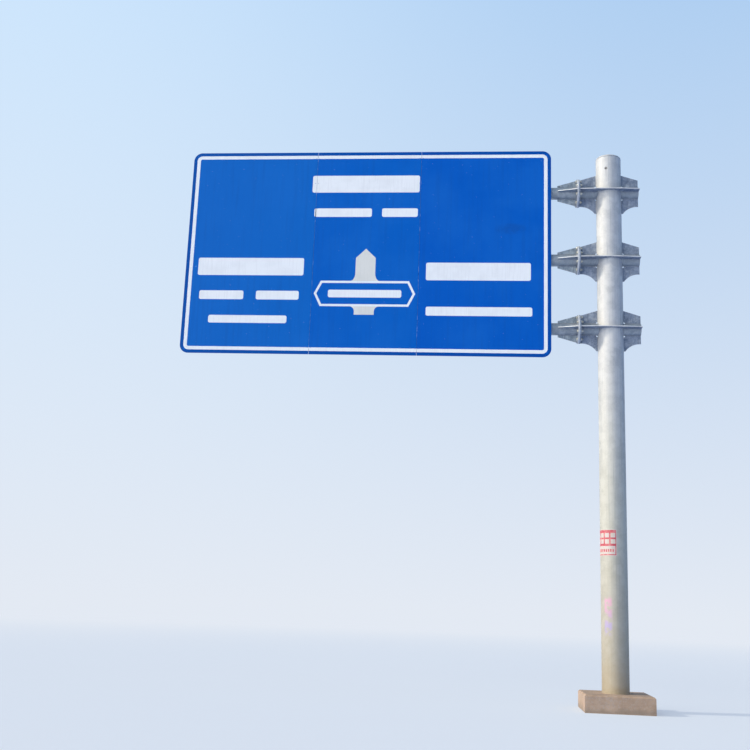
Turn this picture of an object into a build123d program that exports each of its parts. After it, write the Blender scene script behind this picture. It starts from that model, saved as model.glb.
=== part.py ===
from build123d import *
from math import copysign
import os

# A single-post cantilever gantry that carries one large road direction board on three
# horizontal arms.  +Z is up, the origin is on the ground at the centre of the post's base
# flange, the arms reach towards -X and the board faces -Y.  All sizes are in millimetres.

# Concrete casing that is cast round the foot of the post
plinth_width = 1000
plinth_height = 250
plinth_chamfer = 20

# Base flange, flush with the underside of the casing
base_flange_width = 700
base_flange_thickness = 25
anchor_circle_diameter = 600
anchor_hole_diameter = 39
anchor_count = 8
anchor_nut_width = 58
anchor_pocket_depth = 130

# Post
post_diameter = 402
post_wall = 10
post_head = 580
post_cap_height = 40
post_cap_wall = 8
post_cap_chamfer = 20
vent_hole_diameter = 24
vent_hole_drop = 215
vent_hole_angle = -108

# Arms
arm_diameter = 194
arm_wall = 8
arm_spacing = 1155
middle_arm_height = 6950
arm_end_inset = 60
end_plate_thickness = 6

# Bolted flanges where each arm meets its stub on the post
flange_diameter = 460
flange_thickness = 22
flange_reach = 299
flange_circle_diameter = 390
flange_hole_width = 26
flange_hole_sides = 8
flange_bolt_count = 8
tube_setback = 5

# Ribs between the arm and its flange
arm_rib_count = 4
arm_rib_length = 308
arm_rib_nose = 35
arm_rib_flange_margin = 8
arm_rib_snipe = 24

# Stub through the post, with its wing plates and gussets
stub_tail = 269
stiffener_thickness = 14
wing_post_margin = 38
wing_flange_margin = 5
wing_tail_half_width = 212
gusset_post_rise = 312
gusset_tail_height = 225
gusset_post_drop = 353
gusset_arc_radius = 275
gusset_arc_top = 231
gusset_arc_station = 455
stiffener_snipe = 36
gusset_relief = 28

# Board
board_width = 6000
board_height = 3500
board_corner_radius = 140
board_gap = 940
board_rise = 95
sheet_thickness = 3
centre_sheet_width = 1740
sheet_seam = 4
seam_strip_width = 80
seam_strip_thickness = 3

# Slotted rails behind the board
side_rail_margin = 165
side_rail_count = 3
centre_rail_margin = 435
centre_rail_count = 2
rail_end_inset = 50
rail_depth = 40
rail_foot_width = 92
rail_channel_width = 52
rail_slot_width = 20
rail_wall = 4

# Clamps that hold each rail on each arm
clamp_width = 50
clamp_thickness = 5
clamp_ear_length = 50
clamp_bend_flats = 16

# Places worked out from the sizes above
post_radius = post_diameter / 2
arm_radius = arm_diameter / 2
flange_radius = flange_diameter / 2
arm_levels = {
    "lower": middle_arm_height - arm_spacing,
    "middle": middle_arm_height,
    "upper": middle_arm_height + arm_spacing,
}
post_top = arm_levels["upper"] + post_head
flange_face = -(post_radius + flange_reach)
stub_end = post_radius + stub_tail
rail_back = -(arm_radius + clamp_thickness)
sheet_back = rail_back - rail_depth
sheet_face = sheet_back - sheet_thickness
board_near_edge = -board_gap
board_far_edge = board_near_edge - board_width
board_middle = middle_arm_height + board_rise
board_foot = board_middle - board_height / 2
arm_far_end = board_far_edge + arm_end_inset
side_sheet_width = (board_width - centre_sheet_width) / 2
sheets = {
    "left": (board_far_edge, side_sheet_width),
    "centre": (board_far_edge + side_sheet_width, centre_sheet_width),
    "right": (board_near_edge - side_sheet_width, side_sheet_width),
}
rail_layout = {
    "left": (side_rail_margin, side_rail_count),
    "centre": (centre_rail_margin, centre_rail_count),
    "right": (side_rail_margin, side_rail_count),
}
base_align = (Align.CENTER, Align.CENTER, Align.MIN)


def bar_along_x(radius, start, end):
    """A round bar about the X axis from start to end."""
    turned = Rot(0, 90, 0) * Cylinder(radius, end - start, align=base_align)
    return Pos(start, 0, 0) * turned


def bar_along_z(radius, start, end):
    """A round bar about the Z axis from start to end."""
    return Pos(0, 0, start) * Cylinder(radius, end - start, align=base_align)


def spaced(sheet_name):
    """The X places of the rails behind one sheet, evenly spaced between its two edge margins."""
    start, width = sheets[sheet_name]
    margin, count = rail_layout[sheet_name]
    pitch = (width - 2 * margin) / (count - 1)
    return [start + margin + i * pitch for i in range(count)]


def ring_of(solid, circle_diameter, count):
    """Copies of a solid, evenly spaced on a circle round the Z axis, half a step off the X axis."""
    step = 360 / count
    return [
        Rot(0, 0, (i + 0.5) * step) * Pos(circle_diameter / 2, 0, 0) * solid for i in range(count)
    ]


def at_anchors(solid):
    """One copy of a solid at the place of each anchor bolt."""
    return ring_of(solid, anchor_circle_diameter, anchor_count)


def base_flange():
    plate = Box(base_flange_width, base_flange_width, base_flange_thickness, align=base_align)
    return plate - at_anchors(bar_along_z(anchor_hole_diameter / 2, 0, base_flange_thickness))


def concrete_plinth():
    block = Box(plinth_width, plinth_width, plinth_height, align=base_align)
    block = chamfer(block.edges().group_by(Axis.Z)[-1], plinth_chamfer)
    block -= Box(base_flange_width, base_flange_width, base_flange_thickness, align=base_align)
    block -= bar_along_z(post_radius, 0, plinth_height)
    nut = RegularPolygon(anchor_nut_width / 2, 6, major_radius=False)
    pocket = Pos(0, 0, base_flange_thickness) * extrude(nut, anchor_pocket_depth)
    return block - at_anchors(pocket)


def post():
    """The tube, with holes for the three stubs and a vent hole on its road side near the top."""
    tube = bar_along_z(post_radius, base_flange_thickness, post_top)
    tube -= bar_along_z(post_radius - post_wall, base_flange_thickness, post_top)
    reach = 2 * post_radius
    for level in arm_levels.values():
        tube -= Pos(0, 0, level) * bar_along_x(arm_radius, -reach, reach)
    vent_hole = Rot(0, 0, vent_hole_angle) * bar_along_x(vent_hole_diameter / 2, 0, reach)
    return tube - Pos(0, 0, post_top - vent_hole_drop) * vent_hole


def post_cap():
    """The cap on the post: a shallow cup, mouth down, with a bevelled upper edge."""
    cap = Cylinder(post_radius, post_cap_height, align=base_align)
    cap = chamfer(cap.edges().group_by(Axis.Z)[-1], post_cap_chamfer)
    hollow_radius = post_radius - post_cap_wall - post_cap_chamfer
    cap -= Cylinder(hollow_radius, post_cap_height - post_cap_wall, align=base_align)
    return Pos(0, 0, post_top) * cap


def closed_tube(open_end, closed_end):
    """A tube as wide as the arms, along X, with a plate welded over its closed end."""
    low, high = sorted((open_end, closed_end))
    inside_low, inside_high = sorted(
        (open_end, closed_end - copysign(end_plate_thickness, closed_end - open_end))
    )
    tube = bar_along_x(arm_radius, low, high)
    return tube - bar_along_x(arm_radius - arm_wall, inside_low, inside_high)


def arm_stub():
    """The short tube that passes right through the post and is closed at its tail."""
    return closed_tube(flange_face + tube_setback, stub_end)


def flange(start):
    """A round flange with its bolt holes and a hole for its tube, one thickness long from start."""
    disc = bar_along_z(flange_radius, 0, flange_thickness)
    disc -= bar_along_z(arm_radius, 0, flange_thickness)
    hole = RegularPolygon(flange_hole_width / 2, flange_hole_sides, major_radius=False)
    hole = extrude(hole, flange_thickness)
    disc -= ring_of(hole, flange_circle_diameter, flange_bolt_count)
    return Pos(start, 0, 0) * Rot(0, 90, 0) * disc


def sniper(x, y):
    """A square bar that stands on edge about Z at (x, y) and snipes the corner of a plate there."""
    side = stiffener_snipe * 2**0.5
    return Pos(x, y, 0) * Rot(0, 0, 45) * Box(side, side, 4 * stiffener_thickness)


def wing_plates():
    """The level plates that lie before and behind the stub and pass round the post."""
    post_half_width = post_radius + wing_post_margin
    flange_back = flange_face + flange_thickness
    half_outline = [
        (flange_back, flange_radius - wing_flange_margin),
        (-post_radius, post_half_width),
        (post_radius, post_half_width),
        (stub_end, wing_tail_half_width),
    ]
    outline = half_outline + [(x, -y) for x, y in reversed(half_outline)]
    plate = extrude(make_face(Polyline(*outline, close=True)), stiffener_thickness / 2, both=True)
    plate -= bar_along_z(post_radius, -stiffener_thickness, stiffener_thickness)
    plate -= bar_along_x(arm_radius, flange_face, stub_end)
    corner = (post_radius**2 - arm_radius**2) ** 0.5
    for side_x in (-1, 1):
        for side_y in (-1, 1):
            plate -= sniper(side_x * corner, side_y * arm_radius)
    return plate


def upright_plate(points):
    """A plate in the XZ plane, as thick as the stiffeners and centred on Y = 0."""
    face = Plane.XZ * make_face(Polyline(*points, close=True))
    return extrude(face, stiffener_thickness / 2, both=True)


def bar_along_y(radius, x, z):
    """A round bar about a line along Y, long enough to cut right through an upright plate.

    It is turned about its own axis so that its seam lies clear of the post and the stub."""
    turned = Rot(90, 0, 0) * Rot(0, 0, 45) * Cylinder(radius, 4 * stiffener_thickness)
    return Pos(x, 0, z) * turned


def gusset(side, outline):
    """A stiffener that fits the post and the stub, with a round relief between the two."""
    corner_level = arm_radius if outline[-1][1] > 0 else -arm_radius
    plate = upright_plate(outline)
    plate -= bar_along_z(post_radius, -2 * gusset_post_drop, 2 * gusset_post_rise)
    plate -= bar_along_x(arm_radius, 2 * flange_face, 2 * stub_end)
    return plate - bar_along_y(gusset_relief, side * post_radius, corner_level)


def upper_gusset(side, end, end_height):
    """The plate over the stub, whose top edge slopes down from the post to end."""
    slope = (gusset_post_rise - end_height) / (abs(end) - post_radius)
    axis_height = gusset_post_rise + slope * post_radius
    return gusset(side, [(0, 0), (end, 0), (end, end_height), (0, axis_height)])


def lower_gusset(side, end):
    """The plate under the stub, with a hollow round lower edge."""
    foot = -gusset_post_drop
    plate = gusset(side, [(0, 0), (end, 0), (end, foot), (0, foot)])
    arc_level = -(gusset_arc_top + gusset_arc_radius)
    return plate - bar_along_y(gusset_arc_radius, side * gusset_arc_station, arc_level)


def gussets():
    """The four upright plates above and below the stub, on both sides of the post."""
    flange_back = flange_face + flange_thickness
    return [
        upper_gusset(-1, flange_back, flange_radius - wing_flange_margin),
        upper_gusset(1, stub_end, gusset_tail_height),
        lower_gusset(-1, flange_back),
        lower_gusset(1, stub_end),
    ]


def arm_ribs():
    """The tapered ribs that brace the arm against its flange, sniped where the two meet."""
    root = flange_face - flange_thickness
    tip = root - arm_rib_length
    blank = upright_plate(
        [
            (root, 0),
            (tip, 0),
            (tip, arm_radius + arm_rib_nose),
            (root, flange_radius - arm_rib_flange_margin),
            (root, arm_radius + arm_rib_snipe),
            (root - arm_rib_snipe, arm_radius),
            (root - arm_rib_snipe, 0),
        ]
    )
    blank -= bar_along_x(arm_radius, tip, root)
    return [Rot(i * 360 / arm_rib_count, 0, 0) * blank for i in range(arm_rib_count)]


def arm():
    """The long tube behind the board, closed at its far end."""
    return closed_tube(flange_face - tube_setback, arm_far_end)


def sheet(name):
    """One aluminium sheet of the board, with the board's rounded corners where it has them."""
    whole = RectangleRounded(board_width, board_height, board_corner_radius)
    whole = Pos(board_near_edge - board_width / 2, board_middle) * whole
    start, width = sheets[name]
    trim_near = sheet_seam / 2 if name != "right" else 0
    trim_far = sheet_seam / 2 if name != "left" else 0
    window = Pos(start + trim_far, board_foot) * Rectangle(
        width - trim_near - trim_far, board_height, align=(Align.MIN, Align.MIN)
    )
    outline = Plane.XZ * (whole & window)
    return Pos(0, sheet_back, 0) * extrude(outline, sheet_thickness)


def seam_strips():
    """The flat strips riveted behind the two joints between the sheets."""
    length = board_height - 2 * rail_end_inset
    strip = Box(
        seam_strip_width, seam_strip_thickness, length, align=(Align.CENTER, Align.MIN, Align.CENTER)
    )
    seams = [sheets["centre"][0], sheets["right"][0]]
    return [Pos(x, sheet_back, board_middle) * strip for x in seams]


def rail_section():
    """The slotted rail seen from above: its foot lies on Y = 0 and its slot opens towards +Y."""
    foot = Rectangle(rail_foot_width, rail_wall, align=(Align.CENTER, Align.MIN))
    channel = Rectangle(rail_channel_width, rail_depth, align=(Align.CENTER, Align.MIN))
    hollow = Rectangle(
        rail_channel_width - 2 * rail_wall, rail_depth - 2 * rail_wall, align=(Align.CENTER, Align.MIN)
    )
    slot = Rectangle(rail_slot_width, rail_depth, align=(Align.CENTER, Align.MIN))
    return foot + channel - Pos(0, rail_wall) * (hollow + slot)


def rails(name):
    length = board_height - 2 * rail_end_inset
    rail = extrude(rail_section(), length)
    return [Pos(x, sheet_back, board_foot + rail_end_inset) * rail for x in spaced(name)]


def clamp_hoop():
    """The strap pressed in short flats round the back of the arm, with legs and two flat ears."""
    half_step = 180 / clamp_bend_flats
    inside = RegularPolygon(arm_radius, clamp_bend_flats, major_radius=False, rotation=half_step)
    outer_radius = arm_radius + clamp_thickness
    outside = RegularPolygon(outer_radius, clamp_bend_flats, major_radius=False, rotation=half_step)
    behind = Rectangle(2 * outer_radius, 4 * outer_radius, align=(Align.MIN, Align.CENTER))
    section = (outside - inside) & behind
    for side in (-1, 1):
        leg_level = side * (arm_radius + clamp_thickness / 2)
        section += Pos(0, leg_level) * Rectangle(
            arm_radius, clamp_thickness, align=(Align.MAX, Align.CENTER)
        )
        ear_level = side * (arm_radius + clamp_ear_length / 2)
        section += Pos(-arm_radius, ear_level) * Rectangle(
            clamp_thickness, clamp_ear_length, align=(Align.MIN, Align.CENTER)
        )
    return extrude(Plane.YZ * section, clamp_width / 2, both=True)


def clamp_bar():
    """The flat bar between the arm and the rail, as long as the hoop is from ear to ear."""
    length = 2 * (arm_radius + clamp_ear_length)
    bar = Box(clamp_width, clamp_thickness, length, align=(Align.CENTER, Align.MAX, Align.CENTER))
    return Pos(0, -arm_radius, 0) * bar


def along_rails(solid):
    """One copy of a clamp piece at every rail."""
    return [Pos(x, 0, 0) * solid for name in sheets for x in spaced(name)]


def write(name, pieces):
    """Writes one node from the solids that belong to it."""
    solids = [solid for piece in pieces for solid in piece.solids()]
    export_step(Compound(children=solids) if len(solids) > 1 else solids[0], f"parts/{name}.step")


os.makedirs("parts", exist_ok=True)
write("concrete_plinth", [concrete_plinth()])
write("base_flange", [base_flange()])
write("post", [post()])
write("post_cap", [post_cap()])
for sheet_name in sheets:
    write(f"board_sheet_{sheet_name}", [sheet(sheet_name)])
    write(f"board_rails_{sheet_name}", rails(sheet_name))
write("board_seam_strips", seam_strips())

pieces_at_a_level = {
    "arm": [arm()],
    "wing_plates": wing_plates().solids(),
    "gussets": gussets(),
    "arm_ribs": arm_ribs(),
    "clamp_hoops": along_rails(clamp_hoop()),
    "clamp_bars": along_rails(clamp_bar()),
}
for level_name, level in arm_levels.items():
    for piece_name, solids in pieces_at_a_level.items():
        write(f"{piece_name}_{level_name}", [Pos(0, 0, level) * solid for solid in solids])

pieces_at_all_levels = {
    "arm_flanges": flange(flange_face - flange_thickness),
    "stub_flanges": flange(flange_face),
    "arm_stubs": arm_stub(),
}
for piece_name, solid in pieces_at_all_levels.items():
    write(piece_name, [Pos(0, 0, level) * solid for level in arm_levels.values()])
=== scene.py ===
import math
import bmesh
import bpy
import numpy as np
from mathutils import Matrix, Vector


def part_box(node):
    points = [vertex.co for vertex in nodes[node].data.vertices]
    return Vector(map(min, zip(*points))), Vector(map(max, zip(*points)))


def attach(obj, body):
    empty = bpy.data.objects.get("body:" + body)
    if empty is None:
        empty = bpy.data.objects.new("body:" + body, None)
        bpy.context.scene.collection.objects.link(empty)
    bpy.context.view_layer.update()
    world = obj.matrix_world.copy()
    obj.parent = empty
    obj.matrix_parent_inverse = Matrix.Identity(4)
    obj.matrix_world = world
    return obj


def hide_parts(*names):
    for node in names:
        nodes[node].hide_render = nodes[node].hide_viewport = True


# A cantilever sign gantry: one round post, three arms on bolted roots and a blue direction
# board.  The frame gives the parts.  This script gives them their finishes and adds the small
# things that hold them together: bolts, rivets, weld seams, straps, and the board's white film.

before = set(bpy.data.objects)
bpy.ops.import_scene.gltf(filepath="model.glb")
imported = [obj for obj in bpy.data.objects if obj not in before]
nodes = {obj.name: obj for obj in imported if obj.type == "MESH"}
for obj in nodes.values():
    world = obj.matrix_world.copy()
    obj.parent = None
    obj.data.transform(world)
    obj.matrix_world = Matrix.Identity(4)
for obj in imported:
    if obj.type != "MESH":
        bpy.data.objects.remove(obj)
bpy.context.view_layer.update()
levelNames = ("lower", "middle", "upper")
sheetNames = ("left", "centre", "right")


def lowOf(node, axis):
    return float(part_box(node)[0]["xyz".index(axis)])


def highOf(node, axis):
    return float(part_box(node)[1]["xyz".index(axis)])


# places read from the frame, in metres
postRadius = highOf("post", "x")
postTop = highOf("post", "z")
capTop = highOf("post_cap", "z")
armRadius = highOf("arm_lower", "y")
levels = {name: (lowOf(f"arm_{name}", "z") + highOf(f"arm_{name}", "z")) / 2 for name in levelNames}
armFlangeFront = lowOf("arm_flanges", "x")     # the side that the arm's ribs stand on
stubFlangeBack = highOf("stub_flanges", "x")   # the side that the wing plates stand on
stubTail = highOf("arm_stubs", "x")
ribTip = lowOf("arm_ribs_lower", "x")
plateHalf = highOf("gussets_lower", "y")       # half the thickness of every plate at the roots
gussetTop = highOf("gussets_lower", "z") - levels["lower"]
gussetDrop = levels["lower"] - lowOf("gussets_lower", "z")
boardLeft = lowOf("board_sheet_left", "x")
boardRight = highOf("board_sheet_right", "x")
boardBottom = lowOf("board_sheet_left", "z")
boardTop = highOf("board_sheet_right", "z")
boardFace = lowOf("board_sheet_left", "y")
boardBack = highOf("board_sheet_right", "y")
print("frame:", len(nodes), "parts, arms at", [round(z, 3) for z in levels.values()])


def addObject(name, data):
    made = bpy.data.objects.new(name, data)
    bpy.context.collection.objects.link(made)
    return made


# the view of the photograph, in metres and degrees
photoView = {
    "place": (-2.125, -16.114, 1.372),
    "pitch": 12.634,
    "roll": 2.102,
    "yaw": 5.701,
    "lens": 49.54,
    "sensor": 36.0,
}


def addCamera(view):
    camera = addObject("camera", bpy.data.cameras.new("camera"))
    camera.data.lens = view["lens"]
    camera.data.sensor_width = view["sensor"]
    placing = Matrix.Translation(view["place"])
    for degrees, axis in ((view["yaw"], "Z"), (90 + view["pitch"], "X"), (view["roll"], "Z")):
        placing = placing @ Matrix.Rotation(math.radians(degrees), 4, axis)
    camera.matrix_world = placing
    bpy.context.scene.camera = camera


addCamera(photoView)

# small helpers for shader trees: an input is a value, or the output of another node


def feed(socket, value):
    if isinstance(value, bpy.types.NodeSocket):
        socket.id_data.links.new(value, socket)
    else:
        socket.default_value = value


def addNode(kind, inputs=None, tree=None, **settings):
    # the node goes into the tree of the nodes that feed it, so only a first one needs a tree
    inputs = inputs or {}
    if tree is None:
        tree = next(value.id_data for value in inputs.values() if isinstance(value, bpy.types.NodeSocket))
    made = tree.nodes.new(kind)
    for name, value in settings.items():
        setattr(made, name, value)
    for name, value in inputs.items():
        feed(made.inputs[name], value)
    return made


def mathNode(operation, *values):
    return addNode("ShaderNodeMath", dict(enumerate(values)), operation=operation).outputs[0]


def times(first, *others):
    for value in others:
        first = mathNode("MULTIPLY", first, value)
    return first


def plus(first, second):
    return mathNode("ADD", first, second)


def without(mask):
    return mathNode("SUBTRACT", 1.0, mask)


def vectorNode(operation, vector, other, output="Vector"):
    inputs = {0: vector, "Scale" if operation == "SCALE" else 1: other}
    return addNode("ShaderNodeVectorMath", inputs, operation=operation).outputs[output]


def scaled(vector, factor):
    return vectorNode("SCALE", vector, factor)


def axisOf(vector, axis):
    return addNode("ShaderNodeSeparateXYZ", {0: vector}).outputs[axis]


def facing(place, axis):
    # how far the surface looks along an axis, from -1 to 1
    return axisOf(addNode("ShaderNodeNewGeometry", tree=place.id_data).outputs["Normal"], axis)


def blend(factor, first, second):
    # mixes two colours, which are inputs 6 and 7 of the node, from the first at 0 to the second at 1
    inputs = {0: factor}
    for index, value in ((6, first), (7, second)):
        inputs[index] = (*value, 1) if isinstance(value, tuple) else value
    return addNode("ShaderNodeMix", inputs, data_type="RGBA").outputs[2]


def layer(under, mask, amount, over):
    # lays one colour over another, as strongly as the amount where the mask is full
    return blend(times(mask, amount), under, over)


def spread(value, low, high, toLow=0.0, toHigh=1.0, interpolation="SMOOTHSTEP"):
    # carries the range low to high smoothly onto toLow to toHigh
    limits = {"Value": value, "From Min": low, "From Max": high, "To Min": toLow, "To Max": toHigh}
    return addNode("ShaderNodeMapRange", limits, interpolation_type=interpolation).outputs[0]


def between(mask, ends):
    # the first end where the mask is 0, the second where it is 1
    return spread(mask, 0.0, 1.0, *ends)


def window(value, low, high, soft):
    # 1 between low and high, falling off over soft on both sides
    rise = spread(value, low - soft, low + soft)
    return times(rise, spread(value, high - soft, high + soft, 1.0, 0.0))


def noise(vector, detail=4.0, rough=0.55, output=0):
    limits = {"Vector": vector, "Scale": 1.0, "Detail": detail, "Roughness": rough}
    return addNode("ShaderNodeTexNoise", limits).outputs[output]


# lights: a soft key from the left, a broad fill from the front and a pale surrounding
lampValues = {
    "key": {
        "towards": (-0.882, -0.163, 0.441), "strength": 2.58, "colour": (1.0, 0.905, 0.74),
        "angle": 5.0,         # degrees across, which softens its shadows
    },
    "fill": {
        "towards": (-0.70, -0.68, 0.26), "strength": 2.12, "colour": (1.0, 0.93, 0.76), "angle": 60.0,
    },
}
surroundings = {
    "ambientStrength": 0.49,
    "ambientColour": (0.37, 0.59, 1.0),
    "horizon": (0.77, 0.82, 0.90),
    "highNear": (0.60, 0.785, 0.99),    # towards the key
    "highFar": (0.41, 0.61, 0.88),      # away from it
    "sides": (-0.45, 0.25),
    "highFrom": 0.56,         # the height of a direction, as a share of its length
}


def addSun(name, values):
    lamp = bpy.data.lights.new(name, "SUN")
    lamp.energy = values["strength"]
    lamp.angle = math.radians(values["angle"])
    lamp.color = values["colour"]
    turn = Vector(values["towards"]).to_track_quat("Z", "Y")
    addObject(name, lamp).matrix_world = turn.to_matrix().to_4x4()


def seenRays(tree):
    # 1 for rays that look straight at a thing or see it in gloss or glass, else 0
    path = addNode("ShaderNodeLightPath", tree=tree).outputs
    seen = mathNode("MAXIMUM", path["Is Camera Ray"], path["Is Glossy Ray"])
    return mathNode("MAXIMUM", seen, path["Is Transmission Ray"])


def setWorld(values):
    # rays that see the surroundings meet a pale background, which turns bluer with the height of
    # their direction and, up there, away from the key; the rest meet a dimmer soft light
    world = bpy.data.worlds.new("surroundings")
    world.use_nodes = True
    tree = world.node_tree
    tree.nodes.clear()
    soft = {"Color": (*values["ambientColour"], 1), "Strength": values["ambientStrength"]}
    ambient = addNode("ShaderNodeBackground", soft, tree)
    direction = addNode("ShaderNodeTexCoord", tree=tree).outputs["Generated"]
    height = spread(axisOf(direction, "Z"), 0.0, values["highFrom"], interpolation="LINEAR")
    away = spread(axisOf(direction, "X"), *values["sides"])
    shade = blend(height, values["horizon"], blend(away, values["highNear"], values["highFar"]))
    pale = addNode("ShaderNodeBackground", {"Color": shade, "Strength": 1.0})
    rays = {0: seenRays(tree), 1: ambient.outputs[0], 2: pale.outputs[0]}
    mix = addNode("ShaderNodeMixShader", rays)
    addNode("ShaderNodeOutputWorld", {"Surface": mix.outputs[0]})
    bpy.context.scene.world = world


for lampName, lampSettings in lampValues.items():
    addSun(lampName, lampSettings)
setWorld(surroundings)
bpy.context.scene.view_settings.view_transform = "Standard"
print("camera and lights set")

# effects that several finishes share


def makeGroup(name, inputs, formula):
    # a group of nodes that puts out what the formula makes of its inputs; each input is a name and
    # its first value, or None for a place
    tree = bpy.data.node_groups.new(name, "ShaderNodeTree")
    for socketName, value in inputs.items():
        kind = "NodeSocketVector" if value is None else "NodeSocketFloat"
        socket = tree.interface.new_socket(socketName, in_out="INPUT", socket_type=kind)
        if value is not None:
            socket.default_value = value
    made = formula(tree.nodes.new("NodeGroupInput").outputs)
    for socketName in made:
        kind = "NodeSocketColor" if socketName == "Colour" else "NodeSocketFloat"
        tree.interface.new_socket(socketName, in_out="OUTPUT", socket_type=kind)
    addNode("NodeGroupOutput", made)
    return tree


def useGroup(group, **values):
    return addNode("ShaderNodeGroup", values, node_tree=group).outputs


def inSizes(given):
    # the place, counted in the group's own size
    return scaled(given["Vector"], mathNode("DIVIDE", 1.0, given["Size"]))


def aboveThreshold(value, given):
    low = mathNode("SUBTRACT", given["Threshold"], given["Softness"])
    return spread(value, low, plus(given["Threshold"], given["Softness"]))


def crystalTones(given):
    # zinc crystals: a noise bends the place, and the Voronoi cell there has one tone all over
    bend, rim = 0.9, 0.12     # how far the noise bends a cell, and how wide its edge is
    place = inSizes(given)
    place = vectorNode("ADD", place, scaled(noise(place, detail=2.0, output=1), bend))
    cell = {"Vector": place, "Scale": 1.0}
    colour = addNode("ShaderNodeTexVoronoi", cell).outputs["Color"]
    edge = addNode("ShaderNodeTexVoronoi", cell, feature="DISTANCE_TO_EDGE").outputs["Distance"]
    tone = addNode("ShaderNodeSeparateColor", {0: colour}).outputs[0]
    return {"Tone": tone, "Edge": spread(edge, 0.0, rim)}


def softBlotches(given):
    # soft blotches: a fractal noise of the given size, kept above a threshold
    return {"Mask": aboveThreshold(noise(inSizes(given), detail=6.0, rough=0.6), given)}


def longRuns(given):
    # rain runs: a noise pulled long up and down, kept above a threshold
    size = addNode("ShaderNodeCombineXYZ", {0: given["Width"], 1: given["Width"], 2: given["Length"]})
    place = vectorNode("DIVIDE", given["Vector"], size.outputs[0])
    return {"Mask": aboveThreshold(noise(place, detail=4.0, rough=0.5), given)}


def dustOnTop(given):
    # dust settles where the surface looks up, more thickly in the clouds of a noise
    upwards, cloudEdge = (0.35, 0.95), (0.3, 0.7)    # none below the first, full above the second
    thin = 0.45               # the share of dust between the clouds
    cloud = spread(noise(inSizes(given), detail=5.0), *cloudEdge, thin, 1.0)
    return {"Mask": times(spread(facing(given["Vector"], "Z"), *upwards), cloud)}


def honeycombLines(given):
    # three cosine waves 60 degrees apart add up to a honeycomb of cells of the given size
    total = 0.0
    for degrees in (30, 90, 150):
        angle = math.radians(degrees)
        direction = (math.cos(angle), 0.0, math.sin(angle))
        along = vectorNode("DOT_PRODUCT", given["Vector"], direction, "Value")
        turns = times(mathNode("DIVIDE", along, given["Size"]), 2 * math.pi)
        total = plus(mathNode("COSINE", turns), total)
    deepest, cellEdge = -1.5, -0.6    # the sum is lowest where cells meet
    return {"Line": spread(total, deepest, cellEdge, 1.0, 0.0)}


crystals = makeGroup("zinc crystals", {"Vector": None, "Size": 0.01}, crystalTones)
clouds = makeGroup("clouds", {"Vector": None, "Size": 0.2, "Threshold": 0.5, "Softness": 0.1}, softBlotches)
rainRuns = makeGroup("rain runs", {"Vector": None, "Width": 0.02, "Length": 0.5, "Threshold": 0.55,
                                   "Softness": 0.08}, longRuns)
settledDust = makeGroup("settled dust", {"Vector": None, "Size": 0.08}, dustOnTop)
honeycomb = makeGroup("honeycomb", {"Vector": None, "Size": 0.004}, honeycombLines)


def cloudMask(place, size, threshold, softness):
    return useGroup(clouds, Vector=place, Size=size, Threshold=threshold, Softness=softness)["Mask"]


def runMask(place, width, length, threshold, softness):
    return useGroup(rainRuns, Vector=place, Width=width, Length=length, Threshold=threshold,
                    Softness=softness)["Mask"]


def newMaterial(name):
    # a fresh material, and the piece's own place in its tree
    material = bpy.data.materials.new(name)
    material.use_nodes = True
    material.node_tree.nodes.clear()
    return material, addNode("ShaderNodeTexCoord", tree=material.node_tree).outputs["Object"]


def makeMaterial(name, formula, *choices):
    # the main shader takes what the formula makes of the piece's own place; its third result is
    # how high the bump stands, in metres
    material, place = newMaterial(name)
    looks, height, relief = formula(place, *choices)
    bump = addNode("ShaderNodeBump", {"Height": height, "Distance": relief, "Strength": 1.0})
    shader = addNode("ShaderNodeBsdfPrincipled", {**looks, "Normal": bump.outputs[0]})
    addNode("ShaderNodeOutputMaterial", {"Surface": shader.outputs[0]})
    return material


# In the values of every finish, a cloud is its size, threshold and softness, and a run is its
# width, length, threshold and softness.  Sizes are in metres.

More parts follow.
